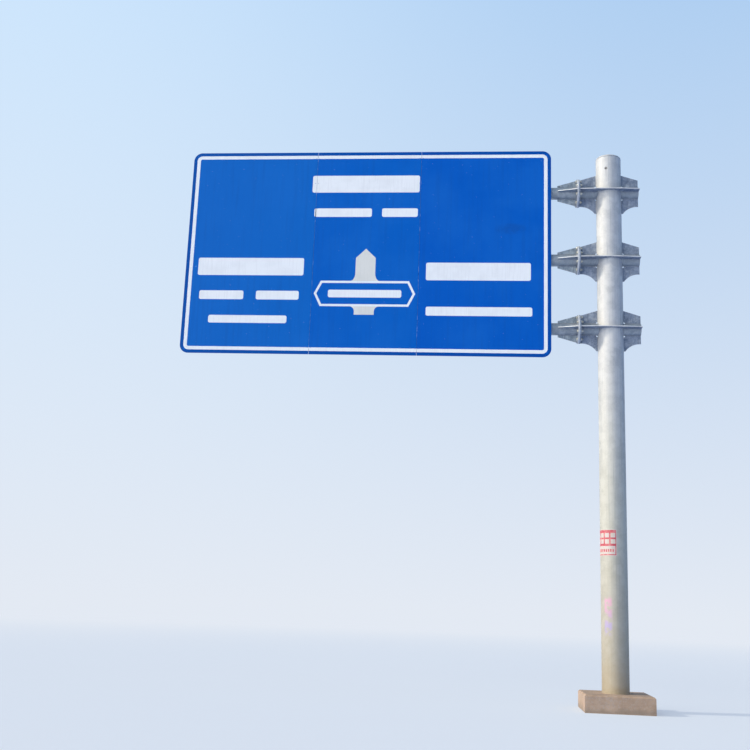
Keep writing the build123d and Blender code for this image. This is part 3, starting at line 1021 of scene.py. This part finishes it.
def addClampBolts(values, boltValues):
    # a bolt in each ear of every strap, above and below the arm
    middle = (armRadius + values["earTop"]) / 2 + values["boltShift"]
    shank = [(boltValues["radius"], height) for height in (-values["shankLength"], values["shankSink"])]
    bolt = together([nutShape(boltValues, fastenerForm), turned(shank, boltValues["sides"])])
    for name, level in levels.items():
        x, side = np.meshgrid(rails, (-1, 1))
        places = np.column_stack([x.ravel(), np.full(x.size, -armRadius + values["thickness"]),
                                  level + side.ravel() * middle])
        shape = spunCopies(bolt, places, (0, 1, 0))
        addPiece(f"clamp_bolts_{name}", shape, zinc["fixing"])


addStraps(clampValues)
addClampBolts(clampValues, clampBoltValues)
print("clamps made")

# the bolts that join each pair of flanges, in metres
flangeBoltValues = {
    "circle": 0.195, "count": 8, "radius": 0.012, "flat": 0.018, "headHeight": 0.015, "nutHeight": 0.019,
    "washerRadius": 0.022, "washerHeight": 0.004, "threadPitch": 0.003, "threadLength": 0.013, "sides": 24,
}


def addFlangeBolts(values):
    # heads on the arm's side and nuts on the post's, half a step off the plates that cross there
    head, nut = headShape(values, fastenerForm), nutShape(values, fastenerForm)
    angle = (np.arange(values["count"]) + 0.5) * 2 * np.pi / values["count"]
    circle = values["circle"] * around(angle, "x")
    for name, level in levels.items():
        shape = together([spunCopies(part, circle + (x, 0, level), (towards, 0, 0)) for part, x, towards in
                          ((head, armFlangeFront, -1), (nut, stubFlangeBack, 1))])
        addPiece(f"flange_bolts_{name}", shape, zinc["bolt"])


addFlangeBolts(flangeBoltValues)
print("flange bolts made")

# rivets: two rows behind every rail, and two rows beside each seam of the board, in metres
rivetValues = {
    "radius": 0.0055, "height": 0.0026, "sink": 0.0005, "rings": (1.0, 0.96, 0.8, 0.5, 0.2), "sides": 12,
    "pitch": 0.150, "railSide": 0.036, "seamSide": 0.024, "endMargin": 0.06, "footThickness": 0.004,
}


def rivetShape(values):
    # a dome whose height falls as the cosine of the way out
    out = np.array(values["rings"])
    rows = np.stack([values["radius"] * out, values["height"] * np.cos(out * np.pi / 2)], 1)
    rows[0, 1] = -values["sink"]
    return turned(rows, values["sides"])


def addRivets(values):
    # rows up both sides of each middle, at steps as near to the pitch as fits between the ends
    rivet = rivetShape(values)
    low = lowOf("board_rails_left", "z") + values["endMargin"]
    high = highOf("board_rails_left", "z") - values["endMargin"]
    heights = np.linspace(low, high, round((high - low) / values["pitch"]) + 1)
    seams = [(highOf(f"board_sheet_{name}", "x") + lowOf(f"board_sheet_{after}", "x")) / 2
             for name, after in zip(sheetNames, sheetNames[1:])]
    footBack, stripBack = boardBack + values["footThickness"], highOf("board_seam_strips", "y")
    for name, middles, kind, y, towards, finish, slot in (
            ("rail_rivets", rails, "railSide", footBack, 1, aluminium, "bare_aluminium"),
            ("seam_rivets", seams, "seamSide", stripBack, 1, aluminium, "bare_aluminium"),
            ("seam_rivet_tails", seams, "seamSide", boardFace, -1, sheetFilm["centre"], "blue_sheeting")):
        x = [middle + side * values[kind] for middle in middles for side in (-1, 1)]
        x, z = np.meshgrid(x, heights, indexing="ij")
        places = np.stack([x, np.full(x.shape, y), z], -1).reshape(-1, 3)
        addPiece(name, copies(rivet, placingsAt(places, (0, towards, 0))), finish)


addRivets(rivetValues)
print("rivets made")

# weld seams at the arm roots, in metres
weldValues = {
    "leg": 0.008, "bulge": 0.0012, "sink": 0.001, "ripple": 0.09, "step": 0.003, "sharp": 50.0,
    "slowSwell": 0.07, "slowWaves": 41, "quickSwell": 0.05, "quickWaves": 97, "endShare": 0.45,
    "snipe": 0.036, "relief": 0.028, "ribSnipe": 0.024, "ribRoot": 0.222, "gussetEnd": 0.225,
    "capReach": 0.0018, "capHalf": 0.005, "capRipple": 0.12, "capSteps": 7,
}


def ripples(count, depth):
    # every other ring of a bead is swollen, and the rings between are shrunk
    return 1 + depth * np.where(np.arange(count) % 2, 1.0, -1.0)


def ringAngles(radius):
    # an even number of steps round a circle, so that a bead's ripples close
    return fullCircle(2 * int(np.pi * radius / weldValues["step"]))


def bead(line, first, second, closed=False):
    # a fillet bead: it reaches one leg out along each side, its face swells between them, and
    # its legs swell and shrink with its ripples and, more slowly, with two sines of the way along
    values = weldValues
    leg, sink = values["leg"], values["sink"]
    way = np.concatenate([[0], np.cumsum(np.linalg.norm(np.diff(line, axis=0), axis=1))])
    slow = values["slowSwell"] * np.sin(way * values["slowWaves"] + chance.uniform(0, 6))
    quick = values["quickSwell"] * np.sin(way * values["quickWaves"])
    wave = ripples(len(line), values["ripple"]) * (1 + slow + quick)
    if not closed:
        ends = np.clip(np.minimum(way, way[-1] - way) / leg, 0, 1)
        wave = wave * (values["endShare"] + (1 - values["endShare"]) * np.sqrt(ends))
    across = np.linspace(0, 1, 4)
    swell = values["bulge"] * 4 * across * (1 - across) * math.sqrt(0.5)
    face = np.stack([leg * (1 - across) + swell, leg * across + swell], 1)
    section = np.concatenate([face, [(-sink, leg), (-sink, -sink), (leg, -sink)]])
    sections = np.tile(section, (len(line), 1, 1))
    sections[:, :4] *= wave[:, None, None]
    sections[:, 4, 1] *= wave
    sections[:, 6, 0] *= wave
    return swept(line, first, second, sections, closed)


def straight(start, end, first, second, order=(0, 1, 2)):
    # a bead along a straight line between two points, with its axes taken in another order
    start, end, first, second = np.array([start, end, first, second], float)[:, order]
    count = max(4, int(np.linalg.norm(end - start) / weldValues["step"]))
    return bead(start + np.linspace(0, 1, count)[:, None] * (end - start), first, second)


def ringBead(x, radius, along):
    # a bead round a tube along X, where the tube meets a flange
    outwards = around(ringAngles(radius), "x")
    return bead(outwards * radius + (x, 0, 0), (along, 0, 0), outwards, closed=True)


def saddleBead(side):
    # a bead where the stub leaves the post: a circle about X, bent back onto the post's round
    outwards = around(ringAngles(armRadius), "x")
    line = outwards * armRadius
    line[:, 0] = side * np.sqrt(postRadius**2 - line[:, 1] ** 2)
    normal = line * (1, 1, 0) / postRadius
    along = outwards - np.sum(outwards * normal, 1)[:, None] * normal
    along /= np.linalg.norm(along, axis=1)[:, None]
    return bead(line, (side, 0, 0), along, closed=True)


def wingArcBead(front, up):
    # a bead along a wing plate's round edge, where it meets the post
    corner = math.asin(armRadius / postRadius)
    start = corner + weldValues["snipe"] / (postRadius * math.cos(corner) + armRadius)
    count = int((math.pi - 2 * start) * postRadius / weldValues["step"])
    outwards = around(np.linspace(start, math.pi - start, count), "z") * (1, front, 1)
    return bead(outwards * postRadius + (0, 0, up * plateHalf), outwards, (0, 0, up))


def rootBeads():
    # every bead of one arm's root, with the arm's line at height 0; the gussets' beads are the
    # wings' with Y and Z exchanged
    values = weldValues
    wing, gusset = (0, 1, 2), (0, 2, 1)
    flat = math.sqrt(armRadius**2 - plateHalf**2)      # where a plate's side meets the tube
    wall = math.sqrt(postRadius**2 - plateHalf**2)     # where a plate's side meets the post
    gaps = {wing: math.sqrt(postRadius**2 - armRadius**2) + values["snipe"],
            gusset: postRadius + values["relief"]}
    low, flange = armRadius + values["relief"], stubFlangeBack
    beads = [ringBead(flange, armRadius, 1), ringBead(armFlangeFront, armRadius, -1)]
    beads += [saddleBead(-1), saddleBead(1)]
    for a, b in ((-1, -1), (-1, 1), (1, -1), (1, 1)):
        side = b * plateHalf
        beads.append(wingArcBead(a, b))
        for order, gap in gaps.items():
            for start, end in ((flange, -gap), (gap, stubTail)):
                beads.append(straight((start, a * flat, side), (end, a * flat, side), (0, a, 0),
                                      (0, 0, b), order))
        for order in gaps:
            beads.append(straight((flange, a * armRadius, side), (flange, a * values["gussetEnd"], side),
                                  (1, 0, 0), (0, 0, b), order))
        for start, end in ((low, gussetTop), (-low, -gussetDrop)):
            beads.append(straight((a * wall, side, start), (a * wall, side, end), (a, 0, 0), (0, b, 0)))
    return beads + ribBeads(flat)


def ribBeads(flat):
    # the beads along the arm's four ribs, and up their roots on the flange
    snipe, flange = weldValues["ribSnipe"], np.array([armFlangeFront, 0, 0])
    beads = []
    for turn in fullCircle(4):
        out = np.array([0, math.cos(turn), math.sin(turn)])
        for side in (-1, 1):
            away = side * np.array([0, -math.sin(turn), math.cos(turn)])
            foot = plateHalf * away
            start = flat * out + foot
            beads.append(straight(start + flange - (snipe, 0, 0), start + (ribTip, 0, 0), out, away))
            low, high = (armRadius + snipe) * out + foot, weldValues["ribRoot"] * out + foot
            beads.append(straight(low + flange, high + flange, (-1, 0, 0), away))
    return beads


def addWelds(values):
    # the root's beads at each level, and a low round one where the cap sits on the post
    points, faces = together(rootBeads())
    for name, level in levels.items():
        shape = (points + (0, 0, level), faces)
        addPiece(f"weld_seams_{name}", shape, zinc["weld"], values["sharp"])
    outwards = around(ringAngles(postRadius), "z")
    reach, half, sink = values["capReach"], values["capHalf"], values["sink"]
    turn = np.linspace(-np.pi / 2, np.pi / 2, values["capSteps"])
    face = np.stack([reach * np.cos(turn) - sink / 2, half * np.sin(turn)], 1)
    section = np.concatenate([face, [(-2 * sink, half), (-2 * sink, -half)]])
    sections = section[None] * ripples(len(outwards), values["capRipple"])[:, None, None]
    ring = swept(outwards * postRadius + (0, 0, postTop), outwards, (0, 0, 1), sections, closed=True)
    addPiece("weld_seam_cap", ring, zinc["weld"], values["sharp"])


addWelds(weldValues)
print("weld seams made")

# the white film on the board: its border, plain bars, a long hexagon and the straight-on mark.
# All places are metres from the board's lower left corner; a bar is its ends and its middle height.
legendValues = {
    "thickness": 0.0005, "sink": 0.0002, "borderInset": 0.058, "borderWidth": 0.057, "borderRound": 0.086,
    "barRound": 0.030, "barSteps": 6, "leastBar": 0.01, "steps": 10, "sharp": 30.0,
    "bigBars": [(2.06, 3.85, 2.93), (0.21, 1.98, 1.48), (3.99, 5.675, 1.41)],
    "bigHeight": 0.30,
    "smallBars": [(2.11, 3.07, 2.425), (3.24, 3.83, 2.425), (0.26, 1.00, 0.99), (1.21, 1.92, 0.99),
                  (4.00, 5.70, 0.74)],
    "smallHeight": 0.150,
    "fineBars": [(0.44, 1.74, 0.58), (2.40, 3.60, 1.025)],
    "fineHeight": 0.130,
    "hexLeft": 2.1675, "hexRight": 3.825, "hexLow": 0.810, "hexHigh": 1.2425, "hexNose": 0.106,
    "hexLine": 0.0375,
    "markMiddle": 3.0, "markHalf": 0.1625, "markFlare": 0.075, "markFlareHeight": 0.140,
    "markShoulder": 1.6375, "markTip": 1.795, "markFoot": 0.670, "footFlareShare": 0.62,
}


def atDepth(line, depth):
    return np.column_stack([line[:, 0], np.full(len(line), depth), line[:, 1]])


def slab(outline, back, front):
    # a flat closed piece: the same outline at two depths, with walls between
    return skin(np.stack([atDepth(outline, front), atDepth(outline, back)]))


def band(outer, inner, back, front, closed=False):
    # a flat strip between two lines, as a section of four corners carried along them
    corners = ((outer, front), (inner, front), (inner, back), (outer, back))
    return skin(np.stack([atDepth(line, depth) for line, depth in corners], 1), closed)


def quarter(middle, radius, start, steps):
    # a quarter circle about a point, from the start angle on
    angle = np.radians(np.linspace(start, start + 90, steps))
    return np.array(middle) + radius * np.stack([np.cos(angle), np.sin(angle)], 1)


def barCorners(left, right, low, high, radius, steps, cutLeft, cutRight):
    # the corners of a bar, anticlockwise from the upper right: round, but square where a seam cuts it
    corners = []
    for x, z, start, cut in ((right, high, 0, cutRight), (left, high, 90, cutLeft),
                             (left, low, 180, cutLeft), (right, low, 270, cutRight)):
        inX = x - radius if x == right else x + radius
        inZ = z - radius if z == high else z + radius
        corners.append(np.array([(x, z)]) if cut else quarter((inX, inZ), radius, start, steps))
    return corners


def barsOn(start, end, values):
    # the parts of all bars that lie on one sheet, cut where they cross its seams
    outlines = []
    for kind in ("big", "small", "fine"):
        half = values[kind + "Height"] / 2
        for left, right, middle in values[kind + "Bars"]:
            a, b = max(left, start), min(right, end)
            if b - a > values["leastBar"]:
                outlines.append(np.concatenate(barCorners(
                    a, b, middle - half, middle + half, values["barRound"], values["barSteps"],
                    a > left, b < right)))
    return outlines


def borderOn(name, start, end, values):
    # the border's stretches on one sheet, each an outer and an inner line past some of its corners
    stretches = {"left": [(0, 1, 2, 3)], "centre": [(0, 1), (2, 3)], "right": [(2, 3, 0, 1)]}
    width, height = boardRight - boardLeft, boardTop - boardBottom
    lines = []
    for reach in (0.0, values["borderWidth"]):
        edge = values["borderInset"] + reach
        lines.append(barCorners(max(start, edge), min(end, width - edge), edge, height - edge,
                                values["borderRound"] - reach, values["steps"], name != "left",
                                name != "right"))
    return [[np.concatenate([corners[k] for k in run]) for corners in lines] for run in stretches[name]]


def markOutlines(values):
    # the straight-on mark: a pointed shaft that flares onto the hexagon, and its foot below
    middle, side = values["markMiddle"], values["markMiddle"] + values["markHalf"]
    turn = np.radians(np.linspace(0, 90, values["steps"]))
    flareX = side + values["markFlare"] * (1 - np.sin(turn))
    footTall = (values["hexLow"] - values["markFoot"]) * values["footFlareShare"]
    outlines = []
    for base, rise, ends in (
            (values["hexHigh"], values["markFlareHeight"],
             [(side, values["markShoulder"]), (middle, values["markTip"])]),
            (values["hexLow"], -footTall, [(side, values["markFoot"])])):
        right = np.concatenate([np.stack([flareX, base + rise * (1 - np.cos(turn))], 1), ends])
        left = right[::-1] * (-1, 1) + (2 * middle, 0)
        outlines.append(np.concatenate([right, left[left[:, 0] < middle]]))
    return outlines


def hexagonLine(values, inset):
    # the outline of the long hexagon, drawn in by an inset square to every side
    left, right, low, high = (values[key] for key in ("hexLeft", "hexRight", "hexLow", "hexHigh"))
    middle, half, nose = (low + high) / 2, (high - low) / 2, values["hexNose"]
    slant = math.hypot(nose, half)
    tip = inset * slant / half
    shift = nose + inset * (slant - nose) / half
    return np.array([(left + tip, middle), (left + shift, high - inset), (right - shift, high - inset),
                     (right - tip, middle), (right - shift, low + inset), (left + shift, low + inset)])


def addLegend(values):
    # the films of each sheet and the mark, laid on the board's face
    back, front = boardFace + values["sink"], boardFace - values["thickness"]
    films = {}
    for name in sheetNames:
        start = lowOf(f"board_sheet_{name}", "x") - boardLeft
        end = highOf(f"board_sheet_{name}", "x") - boardLeft
        shapes = [slab(outline, back, front) for outline in barsOn(start, end, values)]
        shapes += [band(*lines, back, front) for lines in borderOn(name, start, end, values)]
        films[f"white_film_{name}"] = shapes
    outer, inner = hexagonLine(values, 0.0), hexagonLine(values, values["hexLine"])
    hexagon = band(outer, inner, back, front, closed=True)
    films["white_film_centre"].append(hexagon)
    films["mark_film"] = [slab(outline, back, front) for outline in markOutlines(values)]
    for name, shapes in films.items():
        points, faces = together(shapes)
        film = plainFilm["pale" if name == "mark_film" else "white"]
        addPiece(name, (points + (boardLeft, 0.0, boardBottom), faces), film, values["sharp"])


addLegend(legendValues)
print("legend made")

# the notice on the post: a printed sheet with plain bars, in metres and degrees
noticePlace = {
    "fromAngle": -195.5, "toAngle": -84.5, "low": 2.240, "high": 2.630, "divide": 2.385,
    "margin": 0.008, "line": 0.014, "thickness": 0.0004, "sink": 0.0008, "step": 2.0,
    "tallRows": [(2.545, 0.066), (2.452, 0.066)], "tallCount": 4, "smallRow": (2.318, 0.042),
    "smallCount": 9, "gap": 0.024,
}


def wrapped(fromAngle, toAngle, low, high, outer, inner=0.0):
    # a thin patch bent round the post: a rectangle of depth and height carried round the axis
    count = max(3, int(abs(toAngle - fromAngle) / noticePlace["step"]))
    outwards = around(np.radians(np.linspace(fromAngle, toAngle, count)), "z")
    section = np.array([(inner, low), (outer, low), (outer, high), (inner, high)])
    return swept(outwards * postRadius, outwards, (0, 0, 1), section)


def markRow(start, end, row, count, gap, thick):
    # evenly spaced plain marks in a row that is given by its middle and its height
    middle, tall = row
    span = (end - start) / count
    return [wrapped(start + k * span + gap / 2, start + (k + 1) * span - gap / 2,
                    middle - tall / 2, middle + tall / 2, thick) for k in range(count)]


def addNotice(values):
    # a sheet, a printed block over a printed frame on it, and unprinted marks on the block
    degree = math.degrees(1 / postRadius)    # degrees for a metre round the post
    thick, divide, gap = values["thickness"], values["divide"], values["gap"] * degree
    low, high = values["low"] + values["margin"], values["high"] - values["margin"]
    first, last = values["fromAngle"], values["toAngle"]
    a, b = first + values["margin"] * degree, last - values["margin"] * degree
    line, inner = values["line"] * degree, low + values["line"]
    patches = [(a, b, divide, high), (a, b, low, inner), (a, a + line, inner, divide),
               (b - line, b, inner, divide)]
    red = [wrapped(*patch, 2 * thick) for patch in patches]
    red += markRow(a + 2 * line, b - 2 * line, values["smallRow"], values["smallCount"], gap / 2, 2 * thick)
    marks = [mark for row in values["tallRows"]
             for mark in markRow(a, b, row, values["tallCount"], gap, 3 * thick)]
    sheet = wrapped(first, last, values["low"], values["high"], thick, -values["sink"])
    addPiece("notice_sheet", sheet, notice["paper"])
    addPiece("notice_print", together(red), notice["red"])
    addPiece("notice_marks", together(marks), notice["paper"])


addNotice(noticePlace)
print("notice made")

# the floor: pale, fading into the surroundings far out, and not part of the gantry
floorValues = {
    "radius": 90.0,
    "sides": 96,
    "colour": (0.79, 0.85, 0.91),
    "cloudColour": (0.70, 0.73, 0.77),
    "cloud": (3.0, 0.5, 0.3),
    "cloudAmount": 0.06,
    "bounce": (0.42, 0.56, 0.86),    # the colour that lights the gantry from below
    "rough": 0.9,
    "fadeFrom": 12.0,
    "fadeTo": 55.0,
    "glow": 0.45,
}


def addFloor(values):
    # seen rays meet the pale floor, which glows like the horizon far out; the rest meet its bounce
    mesh = bpy.data.meshes.new("floor")
    ring = around(fullCircle(values["sides"]), "z") * values["radius"]
    mesh.from_pydata(ring.tolist(), [], [list(range(values["sides"]))])
    material, place = newMaterial("floor")
    rays = seenRays(place.id_data)
    far = vectorNode("LENGTH", place, (0.0, 0.0, 0.0), "Value")
    seen = times(spread(far, values["fadeFrom"], values["fadeTo"], values["glow"], 1.0), rays)
    cloud = cloudMask(place, *values["cloud"])
    tone = layer(values["colour"], cloud, values["cloudAmount"], values["cloudColour"])
    looks = {"Base Color": blend(rays, values["bounce"], tone), "Roughness": values["rough"]}
    shader = addNode("ShaderNodeBsdfPrincipled", looks)
    horizon = {"Color": (*surroundings["horizon"], 1), "Strength": 1.0}
    glow = addNode("ShaderNodeEmission", horizon, place.id_data)
    mix = addNode("ShaderNodeMixShader", {0: seen, 1: shader.outputs[0], 2: glow.outputs[0]})
    addNode("ShaderNodeOutputMaterial", {"Surface": mix.outputs[0]})
    mesh.materials.append(material)
    addObject("floor", mesh)


addFloor(floorValues)
print("floor made")
